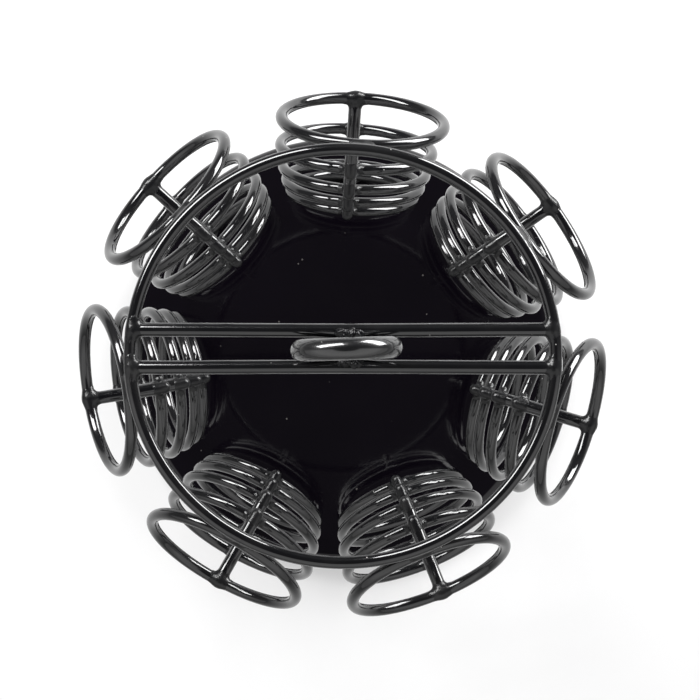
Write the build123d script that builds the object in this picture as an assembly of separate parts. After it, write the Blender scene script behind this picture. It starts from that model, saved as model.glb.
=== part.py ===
from build123d import *
import os
from math import asin, cos, degrees, hypot, radians, sin, sqrt

# Spice carousel: open wire rings in columns round a top frame ring, standing on a
# turntable that spins on a ball race. Millimetres, +Z up, origin on the spin axis at
# the plane the rubber feet rest on. +Y points at the first column, near enough, and
# the crossbars run along X.

# ---------------------------------------------------------------- driving dimensions
COLUMNS = 7
TIERS = 5
FIRST_COLUMN_ANGLE = 3.9      # first column, degrees clockwise from +Y seen from above
COLUMN_STEP = 360 / COLUMNS

RING_WIRE = 3.8               # wire of the jar rings
RING_BORE = 47.4              # clear hole of a jar ring
JAR_TILT = 20.0               # a jar's axis above the horizontal, mouth outwards
TIER_PITCH = 56.0             # height from one tier to the next
TIER_RADIUS = [74.7, 69.6, 66.5, 65.3, 65.0]  # spin axis to ring centre, top tier first
STRUT_WIRE = 4.2
STRUT_TIP_ROUNDING = 0.3      # rounding of a strut's end, as a share of its wire
LAP_PRESS = 0.5               # how far a strut is pressed into the ring it lies on
STRUT_SIDE = -1.4             # struts stand this far to the side of the rings' middles
TOP_RING_SLIP = [1.3, 2.0, -0.6, 0.4, 0.9, 0.7, -0.6]  # each top ring off its column

FRAME_WIRE = 4.0
FRAME_HALF_WIDTH = 64.7       # spin axis to the wire's centre, along the crossbars
FRAME_HALF_DEPTH = 62.8       # the same, across the crossbars
FRAME_STEP = 1.74             # top rings' upper arcs stand this far outside the frame ring
CROSSBAR_WIRE = 4.3
CROSSBAR_SPACING = 11.5       # centre to centre
CROSSBAR_SHIFT = 2.2          # the pair sits this far off centre, towards +Y
HANDLE_TUBE = 6.8
HANDLE_WIDTH = 33.6           # over the outside of the handle ring
HANDLE_SHIFT = 1.0            # handle centre, along the crossbars
HANDLE_TURN = 2.0             # degrees anticlockwise seen from above

DISC_RADIUS = 89.5
DISC_SHEET = 1.2
DISC_SHOULDER = 6.8           # rounding of the disc's edge
DISC_DEPTH = 9.6              # top face to the skirt's lower edge
BASE_RADIUS = 72.0
BASE_SHEET = 1.5
BASE_RIM = 2.5                # how far the base plate's edge turns up
FOOT_COUNT = 4
FOOT_HEIGHT = 3.5
FOOT_RADIUS = 6.0
FOOT_CIRCLE = 62.0
FOOT_ROUNDING = 1.0

BALL_COUNT = 24
BALL_RADIUS = 2.5
BALL_PLAY = 0.08              # ball to groove
BALL_CIRCLE = 51.0
RACE_WIDTH = 16.0
RACE_THICKNESS = 3.1
RACE_GAP = 1.8                # between the two races
CAGE_THICKNESS = 0.9
CAGE_WIDTH = 10.0
CAGE_PLAY = 0.2               # ball to cage hole

PIVOT_RADIUS = 3.0
PIVOT_PLAY = 0.06             # running fit of the turntable on the pivot
PIVOT_HEAD_RADIUS = 5.5
PIVOT_HEAD_HEIGHT = 2.0
PIVOT_HEAD_ROUNDING = 1.6
PIVOT_LOWER_HEAD = 1.2        # height of the head under the base plate
WASHER_THICKNESS = 0.8
WASHER_RADIUS = 7.5
AXIAL_PLAY = 0.3              # turntable to washer
FACE_GAP = 0.01               # between parts that are welded or riveted face to face
ARC_GAP = 0.03                # between the frame ring and a top ring

# ---------------------------------------------------------------- derived heights
ring_radius = (RING_BORE + RING_WIRE) / 2
lean_in = ring_radius * sin(radians(JAR_TILT))   # half the ring's depth, radially
lean_up = ring_radius * cos(radians(JAR_TILT))   # half the ring's height

base_top = FOOT_HEIGHT + BASE_SHEET
ball_height = base_top + RACE_THICKNESS + RACE_GAP / 2
disc_under = ball_height + RACE_GAP / 2 + RACE_THICKNESS
disc_top = disc_under + DISC_SHEET

lowest_tier = disc_top + RING_WIRE / 2 + lean_up
tier_height = [lowest_tier + TIER_PITCH * (TIERS - 1 - tier) for tier in range(TIERS)]

# the frame ring lies on the inside of the top tier's upper arcs, wire touching wire
wires_apart = (FRAME_WIRE + RING_WIRE) / 2 + ARC_GAP
frame_height = tier_height[0] + lean_up + sqrt(wires_apart**2 - FRAME_STEP**2)
top_outside = TIER_RADIUS[0] + lean_in          # spin axis to the top tier's lower arcs

handle_radius = (HANDLE_WIDTH - HANDLE_TUBE) / 2

os.makedirs("parts", exist_ok=True)


def save(name, shape):
    """Write one sub-part to its own STEP file."""
    export_step(shape, f"parts/{name}.step")


def rod(start, end, diameter):
    """Straight round bar from one point to another."""
    run = Vector(*end) - Vector(*start)
    place = Plane(origin=start, z_dir=run)
    bar = Cylinder(diameter / 2, run.length, align=(Align.CENTER, Align.CENTER, Align.MIN))
    return place * bar


def disc(radius, low, high):
    """Solid disc on the spin axis between two heights."""
    height = high - low
    return Pos(0, 0, low) * Cylinder(radius, height, align=(Align.CENTER, Align.CENTER, Align.MIN))


def annulus(inner, outer, low, high):
    """Flat ring on the spin axis between two heights."""
    return disc(outer, low, high) - disc(inner, low, high)


def column_angle(column):
    """Degrees clockwise from +Y at which a column stands."""
    return FIRST_COLUMN_ANGLE + COLUMN_STEP * column


def to_column(shape, column):
    """Turn a shape made on +Y round to its column."""
    return shape.rotate(Axis.Z, -column_angle(column))


def spread(shape, count, offset=0.0):
    """Copies of a shape, evenly spaced round the spin axis."""
    return [shape.rotate(Axis.Z, offset + 360 / count * step) for step in range(count)]


# ---------------------------------------------------------------- wire rack
def slip(column, tier):
    """How far a jar ring sits to the side of its column, clockwise seen from above."""
    return TOP_RING_SLIP[column] if tier == 0 else 0.0


def frame_reach(column):
    """Spin axis to the oval frame ring's wire centre, abreast of a column's top ring."""
    turn = radians(column_angle(column)) + slip(column, 0) / FRAME_HALF_WIDTH
    across = hypot(FRAME_HALF_DEPTH * sin(turn), FRAME_HALF_WIDTH * cos(turn))
    radius = FRAME_HALF_WIDTH * FRAME_HALF_DEPTH / across
    return sqrt(radius**2 - slip(column, 0) ** 2)


def tilt(column, tier):
    """Tilt of a jar ring. A top ring's upper arc meets the oval frame ring."""
    if tier > 0:
        return JAR_TILT
    depth = top_outside - frame_reach(column) - FRAME_STEP
    return degrees(asin(depth / (2 * ring_radius)))


def ring_centre(column, tier):
    """Distance from the spin axis and height of a jar ring's centre."""
    if tier > 0:
        return TIER_RADIUS[tier], tier_height[tier]
    lean = radians(tilt(column, tier))
    upper_arc = tier_height[0] + lean_up
    return top_outside - ring_radius * sin(lean), upper_arc - ring_radius * cos(lean)


def jar_ring(column, tier, clearance=0.0):
    """Jar ring on +Y, leaning so that its lower arc is furthest out."""
    place = Pos(slip(column, tier), *ring_centre(column, tier))
    return place * Rot(tilt(column, tier) - 90, 0, 0) * Torus(ring_radius, RING_WIRE / 2 + clearance)


def arc_point(column, tier, upward):
    """Point of a ring's wire centre in line with the struts: upper or lower arc."""
    lean = radians(tilt(column, tier))
    radius, height = ring_centre(column, tier)
    side = STRUT_SIDE - slip(column, tier)
    reach = upward * sqrt(ring_radius**2 - side**2)
    return radius - reach * sin(lean), height + reach * cos(lean)


def strut(column, tier):
    """Strut from a ring's lower arc, inwards and down, lapped on the next ring's top."""
    start = (STRUT_SIDE, *arc_point(column, tier, -1))
    rest_radius, rest_height = arc_point(column, tier + 1, 1)
    lap_height = (RING_WIRE + STRUT_WIRE) / 2 - LAP_PRESS
    end = (STRUT_SIDE, rest_radius - RING_WIRE / 2, rest_height + lap_height)
    bar = rod(start, end, STRUT_WIRE)
    tip = bar.edges().sort_by(Axis.Y)[0]
    bar = fillet(tip, STRUT_WIRE * STRUT_TIP_ROUNDING)
    return bar - jar_ring(column, tier, FACE_GAP) - jar_ring(column, tier + 1, FACE_GAP)


for column in range(COLUMNS):
    for tier in range(TIERS):
        save(f"jar_ring_c{column + 1}_t{tier + 1}", to_column(jar_ring(column, tier), column))
    chain = [to_column(strut(column, tier), column) for tier in range(TIERS - 1)]
    save(f"column_{column + 1}_struts", Compound(children=chain))


def frame_wire(clearance=0.0):
    """Oval frame ring."""
    path = Pos(0, 0, frame_height) * Edge.make_ellipse(FRAME_HALF_WIDTH, FRAME_HALF_DEPTH)
    start = Plane(origin=(FRAME_HALF_WIDTH, 0, frame_height), z_dir=(0, 1, 0))
    return sweep(start * Circle(FRAME_WIRE / 2 + clearance), path=path)


def crossbar(side):
    """Crossbar between the frame ring's two sides, ending on its wire."""
    bar_y = CROSSBAR_SHIFT + side * CROSSBAR_SPACING / 2
    half_length = FRAME_HALF_WIDTH * sqrt(1 - (bar_y / FRAME_HALF_DEPTH) ** 2)
    left = (-half_length, bar_y, frame_height)
    right = (half_length, bar_y, frame_height)
    bar = rod(left, right, CROSSBAR_WIRE) - frame_wire(FACE_GAP)
    return bar.solids().sort_by(SortBy.VOLUME)[-1]


save("frame_ring", frame_wire())
save("crossbar_front", crossbar(-1))
save("crossbar_rear", crossbar(1))

handle = Rot(0, 0, HANDLE_TURN) * Rot(90, 0, 0) * Torus(handle_radius, HANDLE_TUBE / 2)
save("handle_ring", Pos(HANDLE_SHIFT, CROSSBAR_SHIFT, frame_height + handle_radius) * handle)


# ---------------------------------------------------------------- turntable
def pressed_disc():
    """Turntable: flat sheet disc with a rounded shoulder and a short skirt."""
    def dish(radius, top, low, shoulder):
        body = disc(radius, low, top)
        rim = body.edges().filter_by(GeomType.CIRCLE).sort_by(Axis.Z)[-1]
        return fillet(rim, shoulder)

    low = disc_top - DISC_DEPTH
    outside = dish(DISC_RADIUS, disc_top, low, DISC_SHOULDER)
    inside = dish(DISC_RADIUS - DISC_SHEET, disc_under, low - 1, DISC_SHOULDER - DISC_SHEET)
    bore = disc(PIVOT_RADIUS + PIVOT_PLAY, disc_under - 1, disc_top + 1)
    return outside - inside - bore


save("turntable_disc", pressed_disc())

# ---------------------------------------------------------------- ball bearing
groove = Pos(0, 0, ball_height) * Torus(BALL_CIRCLE, BALL_RADIUS + BALL_PLAY)
race_inner = BALL_CIRCLE - RACE_WIDTH / 2
race_outer = BALL_CIRCLE + RACE_WIDTH / 2
save("lower_race", annulus(race_inner, race_outer, base_top, base_top + RACE_THICKNESS) - groove)
save("upper_race", annulus(race_inner, race_outer, disc_under - RACE_THICKNESS, disc_under) - groove)

ball = Pos(0, BALL_CIRCLE, ball_height) * Sphere(BALL_RADIUS)
save("bearing_balls", Compound(children=spread(ball, BALL_COUNT)))

cage_low = ball_height - CAGE_THICKNESS / 2
cage_high = ball_height + CAGE_THICKNESS / 2
cage = annulus(BALL_CIRCLE - CAGE_WIDTH / 2, BALL_CIRCLE + CAGE_WIDTH / 2, cage_low, cage_high)
ball_hole = Pos(0, BALL_CIRCLE, ball_height) * Cylinder(BALL_RADIUS + CAGE_PLAY, CAGE_THICKNESS * 2)
for hole in spread(ball_hole, BALL_COUNT):
    cage -= hole
save("ball_cage", cage)

# ---------------------------------------------------------------- base
base_plate = disc(BASE_RADIUS, FOOT_HEIGHT, base_top)
base_plate += annulus(BASE_RADIUS - BASE_SHEET, BASE_RADIUS, FOOT_HEIGHT, base_top + BASE_RIM)
base_plate -= disc(PIVOT_RADIUS + FACE_GAP, FOOT_HEIGHT - 1, base_top + 1)
save("base_plate", base_plate)

foot = disc(FOOT_RADIUS, 0, FOOT_HEIGHT)
foot = fillet(foot.edges().sort_by(Axis.Z)[0], FOOT_ROUNDING)
foot = Pos(0, FOOT_CIRCLE, 0) * foot
for number, placed in enumerate(spread(foot, FOOT_COUNT, offset=45)):
    save(f"rubber_foot_{number + 1}", placed)

# the pivot's shank is headed over under the base plate and over the washer on top
washer_low = disc_top + AXIAL_PLAY
washer_high = washer_low + WASHER_THICKNESS
shank = disc(PIVOT_RADIUS, FOOT_HEIGHT, washer_high)
lower_head = disc(PIVOT_HEAD_RADIUS, FOOT_HEIGHT - PIVOT_LOWER_HEAD, FOOT_HEIGHT)
upper_head = disc(PIVOT_HEAD_RADIUS, washer_high, washer_high + PIVOT_HEAD_HEIGHT)
upper_head = fillet(upper_head.edges().sort_by(Axis.Z)[-1], PIVOT_HEAD_ROUNDING)
save("pivot_rivet", shank + lower_head + upper_head)
save("pivot_washer", annulus(PIVOT_RADIUS + FACE_GAP, WASHER_RADIUS, washer_low, washer_high))
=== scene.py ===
"""Looks of the spice carousel: wire rack, top frame, turntable and base in a plain studio."""

import logging
import math
from abc import ABC, abstractmethod
from dataclasses import dataclass
from enum import Enum
from typing import Callable, ClassVar, Dict, List, Sequence, Tuple

import bmesh
import bpy
import numpy as np
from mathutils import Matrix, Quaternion, Vector


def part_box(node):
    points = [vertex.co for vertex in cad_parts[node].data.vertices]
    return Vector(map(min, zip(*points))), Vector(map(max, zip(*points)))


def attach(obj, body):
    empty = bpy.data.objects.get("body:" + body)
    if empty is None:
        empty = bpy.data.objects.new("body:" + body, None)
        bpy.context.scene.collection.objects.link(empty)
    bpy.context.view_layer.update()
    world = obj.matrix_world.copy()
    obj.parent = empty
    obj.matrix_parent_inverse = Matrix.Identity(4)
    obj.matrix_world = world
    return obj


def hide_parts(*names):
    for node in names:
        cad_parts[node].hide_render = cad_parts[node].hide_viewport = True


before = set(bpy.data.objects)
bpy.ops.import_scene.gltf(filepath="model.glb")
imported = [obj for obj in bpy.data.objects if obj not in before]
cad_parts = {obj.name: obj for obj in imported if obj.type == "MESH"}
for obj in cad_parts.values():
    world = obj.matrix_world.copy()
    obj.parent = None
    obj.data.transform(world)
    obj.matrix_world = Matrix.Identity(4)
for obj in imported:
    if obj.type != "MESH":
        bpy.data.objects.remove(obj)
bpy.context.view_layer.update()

LOG = logging.getLogger("carousel")
MM = 0.001
BEAD_DETAIL = 4
UP = np.array([0.0, 0.0, 1.0])
LEVEL = np.array([1.0, 1.0, 0.0])
Points = np.ndarray
Colour = Tuple[float, float, float]
Outline = List[Tuple[float, float]]
Distance = Callable[[Points], np.ndarray]
Skin = Tuple[Points, List[Tuple[int, ...]]]


class Body(Enum):
    """Rigid bodies of the carousel that a piece can ride on."""

    BASE = "base"
    BALLS = "ball_set"
    CAROUSEL = "carousel"


class Slot(Enum):
    """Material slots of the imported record."""

    WIRE = "black_wire"
    DISC = "black_disc"
    BASE = "black_base"
    RACE = "race_steel"
    BALL = "ball_steel"
    CAGE = "cage_plastic"
    RIVET = "rivet_steel"
    WASHER = "washer_plastic"
    FOOT = "foot_rubber"


# ------------------------------------------------------------------ reading the frame
def node_box(node: str) -> Tuple[np.ndarray, np.ndarray]:
    """Box of a CAD node at rest.

    Args:
        node: Name of the CAD node.

    Returns:
        Its lowest and highest corner, in metres.
    """
    low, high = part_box(node)
    return np.array(low), np.array(high)


def node_centre(node: str) -> np.ndarray:
    """Middle of a CAD node's box, in metres."""
    low, high = node_box(node)
    return (low + high) / 2


def unit(vector: Sequence[float]) -> np.ndarray:
    """Vector scaled to length one."""
    array = np.asarray(vector, float)
    return array / np.linalg.norm(array)


# ------------------------------------------------------------------ meshes
def skin(rings: Points, wrap_along: bool, cap: bool) -> Skin:
    """Faces over a lattice of points.

    Args:
        rings: Array of n rings of m points each, n by m by 3. A ring always closes on itself.
        wrap_along: Whether the last ring joins the first.
        cap: Whether the two end rings are filled.

    Returns:
        The points as a flat list and the faces as index tuples.
    """
    count, sides, _ = rings.shape
    faces: List[Tuple[int, ...]] = []
    for i in range(count if wrap_along else count - 1):
        here, there = i * sides, ((i + 1) % count) * sides
        for j in range(sides):
            k = (j + 1) % sides
            faces.append((here + j, here + k, there + k, there + j))
    if cap:
        faces.append(tuple(range(sides - 1, -1, -1)))
        faces.append(tuple((count - 1) * sides + j for j in range(sides)))
    return rings.reshape(-1, 3), faces


def mesh_object(name: str, parts: Sequence[Skin]) -> bpy.types.Object:
    """Object of one or more closed skins, smooth shaded.

    Args:
        name: Name of the piece.
        parts: Points and faces of each skin.

    Returns:
        The new object, linked to the scene.
    """
    points: List[Points] = []
    faces: List[Tuple[int, ...]] = []
    offset = 0
    for part_points, part_faces in parts:
        points.append(part_points)
        faces += [tuple(index + offset for index in face) for face in part_faces]
        offset += len(part_points)
    mesh = bpy.data.meshes.new(name)
    mesh.from_pydata(np.concatenate(points).tolist(), [], faces)
    mesh.update()
    work = bmesh.new()
    work.from_mesh(mesh)
    bmesh.ops.recalc_face_normals(work, faces=work.faces)
    work.to_mesh(mesh)
    work.free()
    mesh.polygons.foreach_set("use_smooth", [True] * len(mesh.polygons))
    piece = bpy.data.objects.new(name, mesh)
    bpy.context.scene.collection.objects.link(piece)
    return piece


def ball_rays(detail: int) -> Skin:
    """Even directions all round a point.

    Args:
        detail: Subdivisions of the ball that carries them.

    Returns:
        The directions and the faces between them.
    """
    ball = bmesh.new()
    bmesh.ops.create_icosphere(ball, subdivisions=detail, radius=1.0)
    rays = np.array([vertex.co for vertex in ball.verts], float)
    faces = [tuple(vertex.index for vertex in face.verts) for face in ball.faces]
    ball.free()
    return rays / np.linalg.norm(rays, axis=1)[:, None], faces


def lathe(profile: Outline, segments: int) -> Skin:
    """Closed outline turned round the Z axis.

    Args:
        profile: Radius and height of each point of the closed outline.
        segments: Steps of the full turn.

    Returns:
        Points and faces of the turned solid.
    """
    angles = np.linspace(0, 2 * math.pi, segments, endpoint=False)
    outline = np.array(profile)
    rings = np.stack(
        [
            np.outer(np.cos(angles), outline[:, 0]),
            np.outer(np.sin(angles), outline[:, 0]),
            np.tile(outline[:, 1], (segments, 1)),
        ],
        axis=2,
    )
    return skin(rings, wrap_along=True, cap=False)


def arc(centre: Tuple[float, float], radius: float, start: float, end: float, steps: int) -> Outline:
    """Points of a round stretch of an outline.

    Args:
        centre: Radius and height of the arc's centre.
        radius: Arc radius.
        start: First angle, degrees from outwards towards up.
        end: Last angle.
        steps: Number of points.

    Returns:
        The points from start to end.
    """
    turns = np.radians(np.linspace(start, end, steps))
    return [(centre[0] + radius * math.cos(t), centre[1] + radius * math.sin(t)) for t in turns]


@dataclass(frozen=True)
class Hoop:
    """Closed round or slightly oval loop of round wire in space."""

    centre: np.ndarray
    across: np.ndarray
    down: np.ndarray
    radii: Tuple[float, float]
    wire: float

    @property
    def axis(self) -> np.ndarray:
        """Normal of the loop's plane."""
        return np.cross(self.across, self.down)

    def point(self, turn: float) -> np.ndarray:
        """Point of the wire's centre line, at a turn from across towards down."""
        wide, deep = self.radii
        return self.centre + wide * math.cos(turn) * self.across + deep * math.sin(turn) * self.down

    def nearest(self, point: np.ndarray) -> np.ndarray:
        """Point of the wire's centre line in the direction of a point."""
        local = point - self.centre
        wide, deep = self.radii
        return self.point(math.atan2(local @ self.down / deep, local @ self.across / wide))

    def skin(self, steps: int, sides: int, swell: Callable[[np.ndarray], np.ndarray]) -> Skin:
        """Closed tube along the loop.

        Args:
            steps: Cross-sections round the loop.
            sides: Points of a cross-section.
            swell: Extra wire radius at each turn, in metres.

        Returns:
            Points and faces of the tube.
        """
        turns = np.linspace(0, 2 * math.pi, steps, endpoint=False)
        wide, deep = self.radii
        rim = self.centre + np.outer(wide * np.cos(turns), self.across)
        rim = rim + np.outer(deep * np.sin(turns), self.down)
        out = np.outer(deep * np.cos(turns), self.across) + np.outer(wide * np.sin(turns), self.down)
        out /= np.linalg.norm(out, axis=1)[:, None]
        thick = self.wire / 2 + swell(turns)
        around = np.linspace(0, 2 * math.pi, sides, endpoint=False)
        offset = np.cos(around)[None, :, None] * out[:, None, :]
        offset = offset + np.sin(around)[None, :, None] * self.axis[None, None, :]
        return skin(rim[:, None, :] + thick[:, None, None] * offset, wrap_along=True, cap=False)

    def distance(self, points: Points) -> np.ndarray:
        """Distance from points to the wire's surface, negative inside."""
        local = points - self.centre
        wide, deep = self.radii
        east, south = local @ self.across, local @ self.down
        share = np.hypot(east / wide, south / deep) + 1e-9
        flat = np.hypot(east, south) * (1 - 1 / share)
        return np.hypot(flat, local @ self.axis) - self.wire / 2


@dataclass(frozen=True)
class Bar:
    """Straight round bar with softened ends, which may bow to one side."""

    start: np.ndarray
    end: np.ndarray
    wire: float
    bow: Tuple[float, float, float] = (0.0, 0.0, 0.0)
    end_rounding: ClassVar[float] = 0.3
    end_steps: ClassVar[int] = 6
    end_face: ClassVar[float] = 0.12
    pressed_run: ClassVar[float] = 2.2
    pressed_spread: ClassVar[float] = 0.25

    @property
    def length(self) -> float:
        """Length from end to end."""
        return float(np.linalg.norm(self.end - self.start))

    def skin(self, steps: int, sides: int, flatten: float = 0.0) -> Skin:
        """Closed tube along the bar.

        Args:
            steps: Cross-sections of the straight stretch.
            sides: Points of a cross-section.
            flatten: Share by which the far end is pressed flat.

        Returns:
            Points and faces of the tube.
        """
        along = unit(self.end - self.start)
        side = unit(np.cross(along, UP))
        up = np.cross(side, along)
        round_off = self.wire * self.end_rounding
        rise = round_off * (1 - np.cos(np.linspace(self.end_face, math.pi / 2, self.end_steps)))
        straight = np.linspace(round_off, self.length - round_off, steps)[1:-1]
        stops = np.concatenate([rise, straight, self.length - rise[::-1]])
        inset = np.minimum(stops, self.length - stops).clip(0, round_off)
        thick = self.wire / 2 - round_off + np.sqrt(round_off**2 - (round_off - inset) ** 2)
        middle = self.start + np.outer(stops, along)
        middle = middle + np.outer(np.sin(math.pi * stops / self.length) ** 2, self.bow)
        pressed = self.pressed_run * self.wire
        press = flatten * ((stops - self.length + pressed) / pressed).clip(0, 1) ** 2
        around = np.linspace(0, 2 * math.pi, sides, endpoint=False)
        wide = np.outer(thick * (1 + self.pressed_spread * press), np.cos(around))[:, :, None] * side
        tall = np.outer(thick * (1 - press), np.sin(around))[:, :, None] * up
        return skin(middle[:, None, :] + wide + tall, wrap_along=False, cap=True)

    def distance(self, points: Points) -> np.ndarray:
        """Distance from points to the bar's surface, negative inside."""
        run = self.end - self.start
        share = ((points - self.start) @ run / (run @ run)).clip(0, 1)
        middle = self.start + share[:, None] * run
        middle = middle + np.outer(np.sin(math.pi * share) ** 2, self.bow)
        return np.linalg.norm(points - middle, axis=1) - self.wire / 2


@dataclass(frozen=True)
class BeadSize:
    """How far a weld bead fills the corner, how far it runs, and the height of its lumps."""

    fillet: float
    reach: float
    lumps: float


@dataclass(frozen=True)
class Weld:
    """Weld bead: the fillet that runs out over the two pieces it joins."""

    centre: np.ndarray
    first: Distance
    second: Distance
    size: BeadSize
    seed: int
    wave_count: ClassVar[int] = 9
    wave_length: ClassVar[float] = 0.9 * MM
    rounds: ClassVar[int] = 60
    pace: ClassVar[float] = 0.9
    first_step: ClassVar[float] = 0.02 * MM
    sunk: ClassVar[float] = 0.03 * MM

    def surface(self, points: Points) -> np.ndarray:
        """Distance to the two joined pieces with their meeting corner filled."""
        near, far, fillet = self.first(points), self.second(points), self.size.fillet
        blend = (fillet - np.abs(near - far)).clip(0) / fillet
        filled = np.minimum(near, far) - blend**2 * fillet / 4
        return filled - self.size.lumps * blend * self.ripple(points)

    def ripple(self, points: Points) -> np.ndarray:
        """Uneven spatter of the bead, from 0 to about 1."""
        rng = np.random.default_rng(self.seed)
        waves = rng.normal(size=(self.wave_count, 3)) / self.wave_length
        shifts = rng.uniform(0, 2 * math.pi, self.wave_count)
        return (np.sin(points @ waves.T + shifts).sum(axis=1) / 5 + 0.4).clip(0, 1.3)

    def skin(self, detail: int) -> Skin:
        """Bead as a closed star-shaped skin about its centre.

        Args:
            detail: Subdivisions of the ball that it starts from.

        Returns:
            Points and faces of the bead.
        """
        rays, faces = ball_rays(detail)
        far = np.full(len(rays), self.first_step)
        for _ in range(self.rounds):
            gap = self.surface(self.centre + far[:, None] * rays)
            far = np.minimum(far + (-gap).clip(0) * self.pace, self.size.reach)
        return self.centre + (far - self.sunk)[:, None] * rays, faces


@dataclass(frozen=True)
class Lump:
    """Rough drop of weld metal."""

    centre: np.ndarray
    size: np.ndarray
    roughness: float
    seed: int
    scales: ClassVar[Tuple[float, ...]] = (2.0, 4.0, 8.0)
    wave_count: ClassVar[int] = 5

    def skin(self, detail: int) -> Skin:
        """Uneven closed skin of the drop.

        Args:
            detail: Subdivisions of the ball that it starts from.

        Returns:
            Points and faces of the drop.
        """
        rays, faces = ball_rays(detail)
        rng = np.random.default_rng(self.seed)
        swell = np.zeros(len(rays))
        for scale in self.scales:
            waves = rng.normal(size=(self.wave_count, 3)) * scale
            shifts = rng.uniform(0, 6, self.wave_count)
            swell += np.sin(rays @ waves.T + shifts).sum(axis=1) / (2.2 * scale**0.8)
        return self.centre + rays * self.size * (1 + self.roughness * swell)[:, None], faces


# ------------------------------------------------------------------ shader groups
class Tree:
    """Small helper that adds and joins shader nodes."""

    def __init__(self, tree: bpy.types.NodeTree) -> None:
        """Keeps the node tree that is being written."""
        self.tree = tree

    def add(self, kind: str, **settings: object) -> bpy.types.Node:
        """New node of a kind, with its own settings.

        Args:
            kind: Blender's name of the node type.
            **settings: Properties of the node.

        Returns:
            The node.
        """
        node = self.tree.nodes.new(kind)
        for key, value in settings.items():
            setattr(node, key, value)
        return node

    def join(self, source: bpy.types.NodeSocket, target: bpy.types.NodeSocket) -> None:
        """Links an output to an input."""
        self.tree.links.new(source, target)

    def math(self, operation: str, first: object, second: object = 0.0) -> bpy.types.NodeSocket:
        """Math node on sockets or numbers.

        Args:
            operation: Blender's name of the operation.
            first: First input, a socket or a number.
            second: Second input, a socket or a number.

        Returns:
            The result's socket.
        """
        node = self.add("ShaderNodeMath", operation=operation)
        for index, value in enumerate((first, second)):
            if isinstance(value, bpy.types.NodeSocket):
                self.join(value, node.inputs[index])
            else:
                node.inputs[index].default_value = value
        return node.outputs[0]

    def ramp(
        self,
        value: bpy.types.NodeSocket,
        low: float,
        high: float,
        out_low: float = 0.0,
        out_high: float = 1.0,
    ) -> bpy.types.NodeSocket:
        """Smooth step of a value between two limits.

        Args:
            value: The value's socket.
            low: Where the step starts.
            high: Where it ends.
            out_low: Result below the step.
            out_high: Result above the step.

        Returns:
            The result's socket.
        """
        node = self.add("ShaderNodeMapRange", interpolation_type="SMOOTHSTEP")
        self.join(value, node.inputs["Value"])
        node.inputs["From Min"].default_value = low
        node.inputs["From Max"].default_value = high
        node.inputs["To Min"].default_value = out_low
        node.inputs["To Max"].default_value = out_high
        return node.outputs["Result"]

    def noise(self, place: bpy.types.NodeSocket, scale: object, detail: float) -> bpy.types.NodeSocket:
        """Noise value at a place.

        Args:
            place: Coordinate socket.
            scale: Features per metre, a socket or a number.
            detail: Octaves.

        Returns:
            The noise value's socket, about 0.3 to 0.7.
        """
        node = self.add("ShaderNodeTexNoise")
        self.join(place, node.inputs["Vector"])
        if isinstance(scale, bpy.types.NodeSocket):
            self.join(scale, node.inputs["Scale"])
        else:
            node.inputs["Scale"].default_value = scale
        node.inputs["Detail"].default_value = detail
        return node.outputs["Fac"]


class GroupMaker:
    """Shader node group with named sockets, built once."""

    def __init__(self, name: str, inputs: Dict[str, float], outputs: Sequence[str]) -> None:
        """Makes the empty group.

        Args:
            name: Name of the group.
            inputs: Default of each float input.
            outputs: Names of the float outputs.
        """
        self.group = bpy.data.node_groups.new(name, "ShaderNodeTree")
        panel = self.group.interface
        for key, value in inputs.items():
            socket = panel.new_socket(name=key, in_out="INPUT", socket_type="NodeSocketFloat")
            socket.default_value = value
        for key in outputs:
            panel.new_socket(name=key, in_out="OUTPUT", socket_type="NodeSocketFloat")
        self.tree = Tree(self.group)
        self.given = self.tree.add("NodeGroupInput")
        self.result = self.tree.add("NodeGroupOutput")
        self.place = self.tree.add("ShaderNodeTexCoord").outputs["Object"]

    def put(self, output: str, value: bpy.types.NodeSocket) -> None:
        """Sends a value to one of the group's outputs."""
        self.tree.join(value, self.result.inputs[output])


def dust_group() -> bpy.types.NodeTree:
    """Dust: sparse specks that settle on upward faces, and a thin film.

    Returns:
        Group with inputs Specks, Speck Scale, Film and outputs Mask, Height.
    """
    maker = GroupMaker(
        "settled_dust",
        {"Specks": 0.1, "Speck Scale": 900.0, "Film": 0.1},
        ["Mask", "Height"],
    )
    tree = maker.tree
    cells = tree.add("ShaderNodeTexVoronoi", feature="F1")
    tree.join(maker.place, cells.inputs["Vector"])
    tree.join(maker.given.outputs["Speck Scale"], cells.inputs["Scale"])
    pick = tree.add("ShaderNodeSeparateColor")
    tree.join(cells.outputs["Color"], pick.inputs["Color"])
    chosen = tree.math("LESS_THAN", pick.outputs["Red"], maker.given.outputs["Specks"])
    widest = 0.26
    size = tree.math("MULTIPLY", pick.outputs["Green"], widest)
    near = tree.math("LESS_THAN", cells.outputs["Distance"], size)
    up = tree.add("ShaderNodeSeparateXYZ")
    tree.join(tree.add("ShaderNodeNewGeometry").outputs["Normal"], up.inputs["Vector"])
    facing = tree.ramp(up.outputs["Z"], 0.1, 0.8)
    speck = tree.math("MULTIPLY", tree.math("MULTIPLY", chosen, near), facing)
    cloud = tree.ramp(tree.noise(maker.place, 60.0, 6.0), 0.42, 0.75)
    film = tree.math("MULTIPLY", tree.math("MULTIPLY", cloud, maker.given.outputs["Film"]), facing)
    maker.put("Mask", tree.math("MAXIMUM", speck, film))
    maker.put("Height", speck)
    return maker.group


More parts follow.
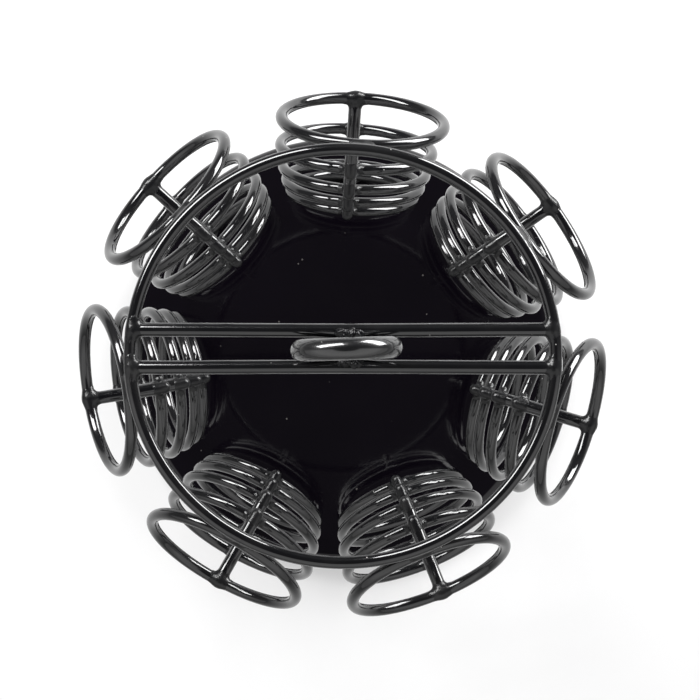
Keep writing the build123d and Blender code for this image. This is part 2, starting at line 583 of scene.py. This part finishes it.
def coat_group() -> bpy.types.NodeTree:
    """Sprayed coat: orange peel, slow unevenness and fine rubbed scratches.

    Returns:
        Group with inputs Peel Scale, Roughness, Spread, Scratches and outputs Height, Roughness.
    """
    maker = GroupMaker(
        "sprayed_coat",
        {"Peel Scale": 700.0, "Roughness": 0.1, "Spread": 0.05, "Scratches": 0.2},
        ["Height", "Roughness"],
    )
    tree = maker.tree
    peel = tree.noise(maker.place, maker.given.outputs["Peel Scale"], 2.0)
    slow = tree.noise(maker.place, 90.0, 3.0)
    stretch = tree.add("ShaderNodeMapping")
    stretch.inputs["Scale"].default_value = (60.0, 60.0, 2600.0)
    stretch.inputs["Rotation"].default_value = (0.7, 0.4, 0.3)
    tree.join(maker.place, stretch.inputs["Vector"])
    lines = tree.ramp(tree.noise(stretch.outputs["Vector"], 1.0, 2.0), 0.66, 0.72)
    patches = tree.ramp(tree.noise(maker.place, 45.0, 2.0), 0.5, 0.65)
    marks = tree.math("MULTIPLY", tree.math("MULTIPLY", lines, patches), maker.given.outputs["Scratches"])
    relief = tree.math("ADD", peel, tree.math("MULTIPLY", slow, 1.5))
    maker.put("Height", tree.math("SUBTRACT", relief, marks))
    uneven = tree.math("MULTIPLY", tree.math("SUBTRACT", slow, 0.5), maker.given.outputs["Spread"])
    rough = tree.math("ADD", maker.given.outputs["Roughness"], uneven)
    maker.put("Roughness", tree.math("ADD", rough, tree.math("MULTIPLY", marks, 0.25)))
    return maker.group


def grain_group() -> bpy.types.NodeTree:
    """Moulded or cast grain.

    Returns:
        Group with inputs Grain Scale, Roughness and outputs Height, Roughness.
    """
    maker = GroupMaker("fine_grain", {"Grain Scale": 2500.0, "Roughness": 0.5}, ["Height", "Roughness"])
    tree = maker.tree
    fine = tree.noise(maker.place, maker.given.outputs["Grain Scale"], 3.0)
    broad = tree.noise(maker.place, 150.0, 3.0)
    maker.put("Height", tree.math("ADD", fine, tree.math("MULTIPLY", broad, 0.6)))
    uneven = tree.math("MULTIPLY", tree.math("SUBTRACT", broad, 0.5), 0.25)
    maker.put("Roughness", tree.math("ADD", maker.given.outputs["Roughness"], uneven))
    return maker.group


class Groups:
    """Shared shader groups, each made the first time it is asked for."""

    makers: Dict[str, Callable[[], bpy.types.NodeTree]] = {
        "dust": dust_group,
        "coat": coat_group,
        "grain": grain_group,
    }
    made: Dict[str, bpy.types.NodeTree] = {}

    @classmethod
    def place(cls, tree: Tree, name: str, values: Dict[str, float]) -> bpy.types.Node:
        """Places a shared group in a material.

        Args:
            tree: The material's tree.
            name: Which group.
            values: Values of the group's inputs.

        Returns:
            The group node.
        """
        if name not in cls.made:
            cls.made[name] = cls.makers[name]()
        node = tree.add("ShaderNodeGroup")
        node.node_tree = cls.made[name]
        for key, value in values.items():
            node.inputs[key].default_value = value
        return node


# ------------------------------------------------------------------ finishes
def fresh_material(name: str) -> Tuple[bpy.types.Material, Tree, bpy.types.Node]:
    """New material with its Principled shader.

    Args:
        name: Name of the material.

    Returns:
        The material, its tree and its Principled node.
    """
    material = bpy.data.materials.new(name)
    material.use_nodes = True
    tree = Tree(material.node_tree)
    shader = next(node for node in material.node_tree.nodes if node.type == "BSDF_PRINCIPLED")
    return material, tree, shader


def opaque(colour: Colour) -> Tuple[float, float, float, float]:
    """Colour with a full fourth channel, as the sockets take it."""
    return (*colour, 1.0)


def stained(
    tree: Tree, shader: bpy.types.Node, mask: bpy.types.NodeSocket, clean: Colour, stain: Colour
) -> None:
    """Base colour that goes from clean to stained by a mask.

    Args:
        tree: The material's tree.
        shader: Its Principled node.
        mask: Where the stain lies.
        clean: Colour without the stain.
        stain: Colour of the stain.
    """
    mix = tree.add("ShaderNodeMix", data_type="RGBA")
    mix.inputs["A"].default_value = opaque(clean)
    mix.inputs["B"].default_value = opaque(stain)
    tree.join(mask, mix.inputs["Factor"])
    tree.join(mix.outputs["Result"], shader.inputs["Base Color"])


def relief(tree: Tree, height: bpy.types.NodeSocket, depth: float) -> bpy.types.NodeSocket:
    """Normal of a relief.

    Args:
        tree: The material's tree.
        height: Height of the relief, about 0 to 1.
        depth: Its depth in metres.

    Returns:
        The normal's socket.
    """
    bump = tree.add("ShaderNodeBump")
    bump.inputs["Distance"].default_value = depth
    tree.join(height, bump.inputs["Height"])
    return bump.outputs["Normal"]


@dataclass(frozen=True)
class Finish(ABC):
    """Finish of a piece: its name, its material slot and how its material is made."""

    name: str
    slot: Slot

    def material(self) -> bpy.types.Material:
        """Material of the finish, made the first time that it is asked for."""
        return bpy.data.materials.get(self.name) or self.made()

    @abstractmethod
    def made(self) -> bpy.types.Material:
        """Makes the material."""


@dataclass(frozen=True)
class GlossCoat(Finish):
    """Black gloss coat sprayed over steel, with a little dust."""

    colour: Colour = (0.0018, 0.0018, 0.0024)
    coat_ior: float = 1.5
    roughness: float = 0.16
    spread: float = 0.10
    peel_scale: float = 520.0
    peel_depth: float = 0.010 * MM
    scratches: float = 0.25
    specular: float = 0.15
    coat: float = 1.0
    coat_roughness: float = 0.035
    specks: float = 0.01
    speck_scale: float = 1100.0
    film: float = 0.012
    dust_colour: Colour = (0.32, 0.31, 0.30)
    dust_dulls: float = 0.6
    dust_stands: float = 2.0

    def made(self) -> bpy.types.Material:
        """Makes the material."""
        material, tree, shader = fresh_material(self.name)
        coat = Groups.place(
            tree,
            "coat",
            {
                "Peel Scale": self.peel_scale,
                "Roughness": self.roughness,
                "Spread": self.spread,
                "Scratches": self.scratches,
            },
        )
        dust = Groups.place(
            tree,
            "dust",
            {"Specks": self.specks, "Speck Scale": self.speck_scale, "Film": self.film},
        )
        stained(tree, shader, dust.outputs["Mask"], self.colour, self.dust_colour)
        dull = tree.math("MULTIPLY", dust.outputs["Mask"], self.dust_dulls)
        tree.join(tree.math("ADD", coat.outputs["Roughness"], dull), shader.inputs["Roughness"])
        cleared = tree.math("SUBTRACT", self.coat, dust.outputs["Mask"])
        tree.join(tree.math("MAXIMUM", cleared, 0.0), shader.inputs["Coat Weight"])
        shader.inputs["Specular IOR Level"].default_value = self.specular
        shader.inputs["Coat Roughness"].default_value = self.coat_roughness
        shader.inputs["Coat IOR"].default_value = self.coat_ior
        raised = tree.math("MULTIPLY", dust.outputs["Height"], self.dust_stands)
        height = tree.math("ADD", coat.outputs["Height"], raised)
        normal = relief(tree, height, self.peel_depth)
        tree.join(normal, shader.inputs["Normal"])
        tree.join(normal, shader.inputs["Coat Normal"])
        return material


@dataclass(frozen=True)
class BareMetal(Finish):
    """Plated or polished steel."""

    colour: Colour
    roughness: float
    grain_scale: float
    grain_depth: float
    tarnish: float = 0.7

    def made(self) -> bpy.types.Material:
        """Makes the material."""
        material, tree, shader = fresh_material(self.name)
        values = {"Grain Scale": self.grain_scale, "Roughness": self.roughness}
        grain = Groups.place(tree, "grain", values)
        shader.inputs["Metallic"].default_value = 1.0
        red, green, blue = (channel * self.tarnish for channel in self.colour)
        patches = tree.ramp(grain.outputs["Height"], 0.7, 1.0)
        stained(tree, shader, patches, self.colour, (red, green, blue))
        tree.join(grain.outputs["Roughness"], shader.inputs["Roughness"])
        tree.join(relief(tree, grain.outputs["Height"], self.grain_depth), shader.inputs["Normal"])
        return material


@dataclass(frozen=True)
class Moulded(Finish):
    """Moulded plastic or rubber, with a fine grain and dust."""

    colour: Colour
    roughness: float
    grain_scale: float = 2600.0
    grain_depth: float = 0.02 * MM
    film: float = 0.15
    specks: float = 0.03
    speck_scale: float = 1300.0
    dust_colour: Colour = (0.35, 0.34, 0.32)

    def made(self) -> bpy.types.Material:
        """Makes the material."""
        material, tree, shader = fresh_material(self.name)
        values = {"Grain Scale": self.grain_scale, "Roughness": self.roughness}
        grain = Groups.place(tree, "grain", values)
        dust = Groups.place(
            tree,
            "dust",
            {"Specks": self.specks, "Speck Scale": self.speck_scale, "Film": self.film},
        )
        stained(tree, shader, dust.outputs["Mask"], self.colour, self.dust_colour)
        tree.join(grain.outputs["Roughness"], shader.inputs["Roughness"])
        tree.join(relief(tree, grain.outputs["Height"], self.grain_depth), shader.inputs["Normal"])
        return material


WIRE_COAT = GlossCoat("wire_gloss_coat", Slot.WIRE)
WELD_COAT = GlossCoat(
    "weld_gloss_coat",
    Slot.WIRE,
    roughness=0.35,
    spread=0.3,
    peel_scale=1500.0,
    peel_depth=0.08 * MM,
    coat=0.4,
    coat_roughness=0.14,
    film=0.02,
)
SPATTER_COAT = GlossCoat(
    "spatter_gloss_coat",
    Slot.WIRE,
    roughness=0.5,
    spread=0.2,
    peel_scale=1700.0,
    peel_depth=0.12 * MM,
    specular=0.05,
    coat=0.4,
    coat_roughness=0.03,
    specks=0.004,
    film=0.002,
)
HANDLE_COAT = GlossCoat(
    "handle_gloss_coat",
    Slot.WIRE,
    roughness=0.26,
    peel_depth=0.02 * MM,
    specular=0.4,
    coat_roughness=0.07,
)
DISC_COAT = GlossCoat(
    "disc_mirror_coat",
    Slot.DISC,
    colour=(0.0016, 0.0011, 0.0022),
    coat_ior=1.38,
    roughness=0.05,
    spread=0.04,
    peel_scale=160.0,
    peel_depth=0.0006 * MM,
    scratches=0.5,
    specular=0.05,
    coat_roughness=0.04,
    specks=0.012,
    speck_scale=620.0,
    film=0.004,
    dust_colour=(0.055, 0.052, 0.050),
)
BASE_COAT = GlossCoat(
    "base_satin_coat",
    Slot.BASE,
    colour=(0.014, 0.014, 0.015),
    roughness=0.38,
    spread=0.12,
    peel_scale=900.0,
    peel_depth=0.02 * MM,
    coat=0.25,
    coat_roughness=0.25,
    film=0.10,
)
RIVET_COAT = GlossCoat("rivet_coat", Slot.RIVET, roughness=0.22, peel_scale=900.0)
RACE_METAL = BareMetal("race_zinc", Slot.RACE, (0.55, 0.56, 0.58), 0.32, 1800.0, 0.01 * MM)
BALL_METAL = BareMetal("ball_polished", Slot.BALL, (0.78, 0.78, 0.80), 0.06, 900.0, 0.001 * MM)
CAGE_PLASTIC = Moulded("cage_nylon", Slot.CAGE, (0.62, 0.60, 0.54), 0.45)
WASHER_PLASTIC = Moulded("washer_nylon", Slot.WASHER, (0.03, 0.03, 0.032), 0.42)
FOOT_RUBBER = Moulded("foot_rubber", Slot.FOOT, (0.022, 0.022, 0.022), 0.72, 1900.0, 0.05 * MM, 0.3)


def dress(
    piece: bpy.types.Object, finish: Finish, body: Body, stands_for: Sequence[str] = ()
) -> bpy.types.Object:
    """Gives a new piece its finish and fixes it to its body.

    Args:
        piece: The new piece, in place.
        finish: Its finish.
        body: The body that carries it.
        stands_for: CAD nodes that it is shown instead of.

    Returns:
        The piece.
    """
    piece.data.materials.clear()
    piece.data.materials.append(finish.material())
    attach(piece, body.value)
    if stands_for:
        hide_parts(*stands_for)
    LOG.info("piece %s rides on %s", piece.name, body.value)
    return piece


def dress_node(node: str, finish: Finish) -> None:
    """Gives a CAD node that stays in view its finish.

    Args:
        node: Name of the CAD node.
        finish: Its finish.
    """
    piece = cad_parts[node]
    piece.data.materials.clear()
    piece.data.materials.append(finish.material())
    LOG.info("node %s dressed in %s", node, finish.name)


# ------------------------------------------------------------------ wire rack
@dataclass
class WireColumn:
    """One column: its jar rings, the struts that chain them and their welds."""

    number: int
    tiers: int = 5
    ring_wire: float = 3.8 * MM
    ring_bore: float = 47.4 * MM
    strut_wire: float = 4.2 * MM
    strut_side: float = -1.4 * MM
    lap_press: float = 0.5 * MM
    strut_flatten: float = 0.22
    seam_swell: float = 0.10 * MM
    seam_width: float = 0.035
    seam_groove: float = 0.16 * MM
    groove_width: float = 0.012
    wobble: float = 0.05 * MM
    foot_bead: BeadSize = BeadSize(1.9 * MM, 4.8 * MM, 0.05 * MM)
    foot_bead_along: float = 0.35
    lap_bead: BeadSize = BeadSize(2.6 * MM, 5.0 * MM, 0.16 * MM)
    lap_bead_rise: float = 0.32
    frame_bead: BeadSize = BeadSize(2.0 * MM, 4.6 * MM, 0.12 * MM)
    disc_bead: BeadSize = BeadSize(2.0 * MM, 4.0 * MM, 0.10 * MM)
    disc_bead_rise: float = 0.3 * MM
    ring_mesh: Tuple[int, int] = (192, 28)
    strut_mesh: Tuple[int, int] = (12, 24)

    def node(self, tier: int) -> str:
        """Name of the CAD node of a tier's ring."""
        return f"jar_ring_c{self.number}_t{tier + 1}"

    @property
    def radius(self) -> float:
        """Radius of a jar ring's wire centre."""
        return (self.ring_bore + self.ring_wire) / 2

    @property
    def outward(self) -> np.ndarray:
        """Level direction from the spin axis to the column."""
        centre = node_centre(self.node(self.tiers - 1))
        return unit((centre[0], centre[1], 0.0))

    def hoop(self, tier: int) -> Hoop:
        """Loop of a tier's ring, its tilt read off the height of its CAD box.

        Args:
            tier: Tier of the ring, from 0 at the top.

        Returns:
            The ring's loop.
        """
        low, high = node_box(self.node(tier))
        lean = math.acos(min(1.0, float(high[2] - low[2] - self.ring_wire) / (2 * self.radius)))
        across = np.array([self.outward[1], -self.outward[0], 0.0])
        down = math.sin(lean) * self.outward - math.cos(lean) * UP
        return Hoop((low + high) / 2, across, down, (self.radius, self.radius), self.ring_wire)

    def joint_turn(self, tier: int) -> float:
        """Turn round a ring, from across towards down, at which the struts pass its lower arc."""
        ring = self.hoop(tier)
        beside = self.strut_side - float(ring.centre @ ring.across)
        return math.acos(beside / self.radius)

    def strut(self, tier: int) -> Bar:
        """Strut from a ring's lower arc to a lap over the next ring's upper arc.

        Args:
            tier: Tier of the upper ring, from 0.

        Returns:
            The strut's bar.
        """
        start = self.hoop(tier).point(self.joint_turn(tier))
        rest = self.hoop(tier + 1).point(-self.joint_turn(tier + 1))
        lap = (self.ring_wire + self.strut_wire) / 2 - self.lap_press
        return Bar(start, rest - self.outward * self.ring_wire / 2 + UP * lap, self.strut_wire)

    def ring_skin(self, tier: int) -> Skin:
        """Ring with its closing butt weld at the lower arc and a trace of bending waviness.

        Args:
            tier: Tier of the ring, from 0.

        Returns:
            Points and faces of the ring.
        """
        rng = np.random.default_rng(100 * self.number + tier)
        phases = rng.uniform(0, 2 * math.pi, 3)

        def swell(turns: np.ndarray) -> np.ndarray:
            """Extra wire radius at each turn: the butt weld's swelling and groove, and the waves."""
            off = turns - self.joint_turn(tier)
            groove = self.seam_groove * np.exp(-((off / self.groove_width) ** 2))
            seam = self.seam_swell * np.exp(-((off / self.seam_width) ** 2)) - groove
            waves = sum(np.sin((k + 2) * turns + phase) for k, phase in enumerate(phases))
            return seam + self.wobble * waves / len(phases)

        return self.hoop(tier).skin(*self.ring_mesh, swell)

    def strut_welds(self) -> List[Weld]:
        """Beads at both ends of every strut.

        Returns:
            Two beads for each strut.
        """
        beads: List[Weld] = []
        for tier in range(self.tiers - 1):
            upper, lower, bar = self.hoop(tier), self.hoop(tier + 1), self.strut(tier)
            seed = 1000 * self.number + 10 * tier
            along = unit(bar.end - bar.start)
            foot = bar.start + along * self.strut_wire * self.foot_bead_along
            beads.append(Weld(foot, upper.distance, bar.distance, self.foot_bead, seed))
            lap = lower.point(-self.joint_turn(tier + 1)) + UP * self.strut_wire * self.lap_bead_rise
            beads.append(Weld(lap, lower.distance, bar.distance, self.lap_bead, seed + 1))
        return beads

    def end_welds(self) -> List[Weld]:
        """Beads that fix the column to the frame ring above and the disc below.

        Returns:
            The two beads.
        """
        top, bottom = self.hoop(0), self.hoop(self.tiers - 1)
        rim = TopFrame().ring()
        arc_top = top.point(-math.pi / 2)
        meet = (arc_top + rim.nearest(arc_top)) / 2
        table = float(node_box("turntable_disc")[1][2])
        foot = bottom.point(math.pi / 2) * LEVEL + UP * (table + self.disc_bead_rise)

        def above_disc(points: Points) -> np.ndarray:
            """Height of points over the disc."""
            return points[:, 2] - table

        seed = 5000 + self.number
        return [
            Weld(meet, top.distance, rim.distance, self.frame_bead, seed),
            Weld(foot, bottom.distance, above_disc, self.disc_bead, seed + 50),
        ]

    def build(self) -> None:
        """Makes the column's rings, struts and welds."""
        for tier in range(self.tiers):
            name = f"wire_ring_c{self.number}_t{tier + 1}"
            ring = mesh_object(name, [self.ring_skin(tier)])
            dress(ring, WIRE_COAT, Body.CAROUSEL, [self.node(tier)])
        bars = [
            self.strut(tier).skin(*self.strut_mesh, flatten=self.strut_flatten)
            for tier in range(self.tiers - 1)
        ]
        struts = mesh_object(f"wire_struts_c{self.number}", bars)
        dress(struts, WIRE_COAT, Body.CAROUSEL, [f"column_{self.number}_struts"])
        beads = [weld.skin(BEAD_DETAIL) for weld in self.strut_welds() + self.end_welds()]
        dress(mesh_object(f"weld_beads_c{self.number}", beads), WELD_COAT, Body.CAROUSEL)


# ------------------------------------------------------------------ top frame
@dataclass
class TopFrame:
    """Frame ring, the two crossbars and the finger handle welded between them."""

    pinch: float = 0.25 * MM
    bar_inset: float = 1.2 * MM
    bead_row: float = 2.8 * MM
    bead_offset: float = 1.2 * MM
    bead_reach: float = 4.35 * MM
    bead_lift: float = 1.8 * MM
    bead_count: int = 6
    bead_scatter: float = 0.25 * MM
    bead_radii: Tuple[float, float, float] = (1.45 * MM, 1.4 * MM, 1.3 * MM)
    bead_spread: Tuple[float, float] = (0.8, 1.2)
    bead_roughness: float = 0.28
    bead_seed: int = 31
    handle_turn: float = math.radians(2.0)
    bar_bead: BeadSize = BeadSize(1.7 * MM, 5.0 * MM, 0.08 * MM)
    drawn_thin: float = 0.03 * MM
    ring_mesh: Tuple[int, int] = (288, 32)
    bar_mesh: Tuple[int, int] = (96, 32)
    handle_mesh: Tuple[int, int] = (160, 48)

    def ring(self) -> Hoop:
        """Oval loop of the frame ring, from its CAD box.

        Returns:
            The ring's loop.
        """
        low, high = node_box("frame_ring")
        wide, deep, wire = (float(side) for side in high - low)
        across, down = np.array([1.0, 0.0, 0.0]), np.array([0.0, -1.0, 0.0])
        radii = ((wide - wire) / 2, (deep - wire) / 2)
        return Hoop((low + high) / 2, across, down, radii, wire)

    def crossbar(self, node: str) -> Bar:
        """Crossbar up to the frame ring's wire, drawn in a little by the handle weld.

        Args:
            node: Name of the crossbar's CAD node.

        Returns:
            The crossbar.
        """
        low, high = node_box(node)
        middle = (low + high) / 2
        inward = math.copysign(self.pinch, node_centre("handle_ring")[1] - middle[1])
        start = np.array([low[0] + self.bar_inset, middle[1], middle[2]])
        end = np.array([high[0] - self.bar_inset, middle[1], middle[2]])
        return Bar(start, end, float(high[2] - low[2]), (0.0, inward, 0.0))

    def handle(self) -> Hoop:
        """Loop of the handle ring, from its CAD box.

        Returns:
            The handle's loop.
        """
        low, high = node_box("handle_ring")
        turn = self.handle_turn
        across = np.array([math.cos(turn), math.sin(turn), 0.0])
        size = high - low
        tube = float(size[1] - size[2] * math.sin(turn)) / (1 - math.sin(turn))
        radius = float(size[2] - tube) / 2
        return Hoop((low + high) / 2, across, -UP, (radius, radius), tube)

    def handle_beads(self, loop: Hoop, bars: Sequence[Bar]) -> List[Lump]:
        """Rough beads that fill the groove between the handle and each crossbar.

        Args:
            loop: The handle's loop.
            bars: The two crossbars.

        Returns:
            A row of lumps on each side of the handle.
        """
        rng = np.random.default_rng(self.bead_seed)
        foot = loop.point(math.pi / 2)
        lumps: List[Lump] = []
        for bar in bars:
            side = math.copysign(self.bead_reach, bar.start[1] - foot[1])
            for shift in np.linspace(-self.bead_row, self.bead_row, self.bead_count):
                spot = foot + np.array([shift + self.bead_offset, side, self.bead_lift])
                spot += rng.normal(0, self.bead_scatter, 3)
                size = np.array(self.bead_radii) * rng.uniform(*self.bead_spread)
                lumps.append(Lump(spot, size, self.bead_roughness, int(rng.integers(1, 9999))))
        return lumps

    def bar_beads(self, bars: Sequence[Bar]) -> List[Weld]:
        """Beads where the crossbars meet the frame ring.

        Args:
            bars: The two crossbars.

        Returns:
            A bead at each end of each bar.
        """
        rim = self.ring()
        beads: List[Weld] = []
        for index, bar in enumerate(bars):
            for end in (bar.start, bar.end):
                beads.append(Weld(end, rim.distance, bar.distance, self.bar_bead, 80 + index))
        return beads

    def draw(self, turns: np.ndarray) -> np.ndarray:
        """Slight thinning of drawn wire at each turn of a loop, in metres."""
        return -self.drawn_thin * np.sin(2.5 * turns) ** 2

    def build(self) -> None:
        """Makes the top frame's pieces and welds."""
        rim = mesh_object("top_frame_ring", [self.ring().skin(*self.ring_mesh, self.draw)])
        dress(rim, WIRE_COAT, Body.CAROUSEL, ["frame_ring"])
        nodes = ("crossbar_front", "crossbar_rear")
        bars = [self.crossbar(node) for node in nodes]
        for bar, node in zip(bars, nodes):
            piece = mesh_object(f"top_{node}", [bar.skin(*self.bar_mesh)])
            dress(piece, WIRE_COAT, Body.CAROUSEL, [node])
        loop = self.handle()
        handle = mesh_object("finger_handle", [loop.skin(*self.handle_mesh, self.draw)])
        dress(handle, HANDLE_COAT, Body.CAROUSEL, ["handle_ring"])
        spatter = [lump.skin(BEAD_DETAIL) for lump in self.handle_beads(loop, bars)]
        dress(mesh_object("handle_welds", spatter), SPATTER_COAT, Body.CAROUSEL)
        beads = [bead.skin(BEAD_DETAIL) for bead in self.bar_beads(bars)]
        dress(mesh_object("top_frame_welds", beads), WELD_COAT, Body.CAROUSEL)


# ------------------------------------------------------------------ turntable and base
@dataclass
class Turntable:
    """Pressed disc with a rounded shoulder and a skirt with a folded lower edge."""

    sheet: float = 1.2 * MM
    shoulder: float = 6.8 * MM
    bore: float = 3.06 * MM
    bore_round: float = 0.25 * MM
    bore_land: float = 1.0 * MM
    segments: int = 256

    def profile(self) -> Outline:
        """Closed outline of the pressed sheet, from the bore outwards and back.

        Returns:
            Radius and height of each point.
        """
        low, high = node_box("turntable_disc")
        radius = float(min(high[0], high[1], -low[0], -low[1]))
        top, foot = float(high[2]), float(low[2])
        inner = self.shoulder - self.sheet
        hem = self.sheet / 2
        bend = (radius - self.shoulder, top - self.shoulder)
        outline = arc((self.bore + self.bore_round, top - self.bore_round), self.bore_round, 180, 90, 5)
        outline += [(r, top) for r in np.linspace(self.bore + self.bore_land, bend[0], 24)]
        outline += arc(bend, self.shoulder, 88, 0, 22)
        outline += arc((radius - hem, foot + hem), hem, 0, -180, 10)
        outline += arc(bend, inner, 0, 90, 14)
        outline += [(self.bore, top - self.sheet)]
        return outline

    def build(self) -> None:
        """Makes the disc."""
        disc = mesh_object("mirror_disc", [lathe(self.profile(), self.segments)])
        dress(disc, DISC_COAT, Body.CAROUSEL, ["turntable_disc"])


@dataclass
class Bearing:
    """Ball race between base plate and disc; its CAD solids stay in view."""

    def build(self) -> None:
        """Dresses races, balls and cage."""
        for node in ("lower_race", "upper_race"):
            dress_node(node, RACE_METAL)
        dress_node("bearing_balls", BALL_METAL)
        dress_node("ball_cage", CAGE_PLASTIC)


@dataclass
class Base:
    """Fixed base: pressed plate, rubber feet and the pivot."""

    feet: int = 4

    def build(self) -> None:
        """Dresses the base's CAD solids."""
        dress_node("base_plate", BASE_COAT)
        dress_node("pivot_rivet", RIVET_COAT)
        dress_node("pivot_washer", WASHER_PLASTIC)
        for number in range(self.feet):
            dress_node(f"rubber_foot_{number + 1}", FOOT_RUBBER)


# ------------------------------------------------------------------ studio
@dataclass(frozen=True)
class SoftBox:
    """Rectangular studio light that faces the top of the carousel; its angles are in degrees."""

    name: str
    bearing: float
    elevation: float
    width: float
    height: float
    distance: float
    power: float
    roll: float = 0.0

    def build(self, target: np.ndarray) -> None:
        """Places the light.

        Args:
            target: Point that it faces, in metres.
        """
        turn, rise = math.radians(self.bearing), math.radians(self.elevation)
        level = math.cos(rise)
        away = np.array([math.sin(turn) * level, math.cos(turn) * level, math.sin(rise)])
        data = bpy.data.lights.new(self.name, "AREA")
        data.shape = "RECTANGLE"
        data.size, data.size_y = self.width, self.height
        data.energy = self.power
        light = bpy.data.objects.new(self.name, data)
        light.location = Vector(target + away * self.distance)
        facing = Vector(-away).to_track_quat("-Z", "Y")
        light.rotation_mode = "QUATERNION"
        light.rotation_quaternion = facing @ Quaternion((0.0, 0.0, 1.0), math.radians(self.roll))
        light.visible_camera = False
        bpy.context.scene.collection.objects.link(light)


@dataclass
class Studio:
    """Floor, surrounding light, soft boxes and the camera over the carousel."""

    left: SoftBox = SoftBox(
        "softbox_left",
        bearing=320,
        elevation=37,
        width=1.0,
        height=0.36,
        distance=1.1,
        power=26,
        roll=-16,
    )
    right: SoftBox = SoftBox(
        "softbox_right",
        bearing=44,
        elevation=8,
        width=0.85,
        height=0.42,
        distance=1.0,
        power=24,
    )
    floor_size: float = 6.0
    floor_grain: float = 900.0
    floor_roughness: float = 0.8
    bright: float = 1.3
    dim: float = 0.26
    overhead: float = 0.11
    backdrop: Colour = (0.93, 0.93, 0.93)
    camera_height: float = 786 * MM
    camera_side: Tuple[float, float] = (-2.03 * MM, 3.66 * MM)
    lens: float = 128.4
    shift: Tuple[float, float] = (0.0197, -0.0089)
    paper: float = 0.34
    paper_glow: float = 0.40

    def floor(self) -> None:
        """Pale floor under the feet."""
        half = self.floor_size / 2
        mesh = bpy.data.meshes.new("floor")
        corners = [(-half, -half, 0), (half, -half, 0), (half, half, 0), (-half, half, 0)]
        mesh.from_pydata(corners, [], [(0, 1, 2, 3)])
        floor = bpy.data.objects.new("floor", mesh)
        bpy.context.scene.collection.objects.link(floor)
        material, tree, shader = fresh_material("floor_paper")
        values = {"Grain Scale": self.floor_grain, "Roughness": self.floor_roughness}
        grain = Groups.place(tree, "grain", values)
        shader.inputs["Base Color"].default_value = opaque((self.paper, self.paper, self.paper))
        shader.inputs["Emission Color"].default_value = opaque((1.0, 0.995, 1.0))
        seen = tree.add("ShaderNodeLightPath").outputs["Is Camera Ray"]
        tree.join(tree.math("MULTIPLY", seen, self.paper_glow), shader.inputs["Emission Strength"])
        tree.join(grain.outputs["Roughness"], shader.inputs["Roughness"])
        floor.data.materials.append(material)

    def surround(self) -> None:
        """Light from all round: bright on the front side, dim behind and overhead."""
        world = bpy.data.worlds.new("studio")
        world.use_nodes = True
        bpy.context.scene.world = world
        tree = Tree(world.node_tree)
        world.node_tree.nodes.clear()
        parts = tree.add("ShaderNodeSeparateXYZ")
        tree.join(tree.add("ShaderNodeTexCoord").outputs["Generated"], parts.inputs["Vector"])
        front = tree.ramp(parts.outputs["Y"], -0.20, 0.10, 1.0, 0.0)
        low = tree.ramp(parts.outputs["Z"], 0.86, 0.94, 1.0, 0.0)
        rising = tree.ramp(parts.outputs["Z"], 0.05, 0.45, 0.45, 1.0)
        shade = tree.ramp(parts.outputs["Z"], 0.45, 0.95, self.dim, self.overhead)
        wall = tree.math("MULTIPLY", front, self.bright)
        band = tree.math("MULTIPLY", low, rising)
        level = tree.math("ADD", tree.math("MULTIPLY", wall, band), shade)
        seen = tree.add("ShaderNodeLightPath").outputs["Is Camera Ray"]
        around = tree.add("ShaderNodeBackground")
        tree.join(level, around.inputs["Strength"])
        plain = tree.add("ShaderNodeBackground")
        plain.inputs["Color"].default_value = opaque(self.backdrop)
        blend = tree.add("ShaderNodeMixShader")
        tree.join(seen, blend.inputs["Fac"])
        tree.join(around.outputs["Background"], blend.inputs[1])
        tree.join(plain.outputs["Background"], blend.inputs[2])
        tree.join(blend.outputs["Shader"], tree.add("ShaderNodeOutputWorld").inputs["Surface"])

    def camera(self) -> None:
        """Camera straight over the handle, looking down."""
        tier = node_centre("jar_ring_c1_t1")[2]
        data = bpy.data.cameras.new("camera")
        data.lens, data.sensor_width = self.lens, 36.0
        data.shift_x, data.shift_y = self.shift
        data.clip_start, data.clip_end = 0.05, 20.0
        camera = bpy.data.objects.new("camera", data)
        camera.location = Vector((*self.camera_side, tier + self.camera_height))
        bpy.context.scene.collection.objects.link(camera)
        bpy.context.scene.camera = camera

    def build(self) -> None:
        """Sets up the whole studio."""
        self.floor()
        self.surround()
        top = node_centre("frame_ring")
        self.left.build(top)
        self.right.build(top)
        self.camera()
        bpy.context.scene.view_settings.view_transform = "Standard"
        LOG.info("studio ready")


def main() -> None:
    """Builds every sub-assembly in order."""
    logging.basicConfig(level=logging.INFO, format="%(name)s: %(message)s")
    columns = sum(1 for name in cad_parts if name.endswith("_struts"))
    for number in range(1, columns + 1):
        WireColumn(number).build()
    TopFrame().build()
    Turntable().build()
    Bearing().build()
    Base().build()
    Studio().build()


if __name__ == "__main__":
    main()
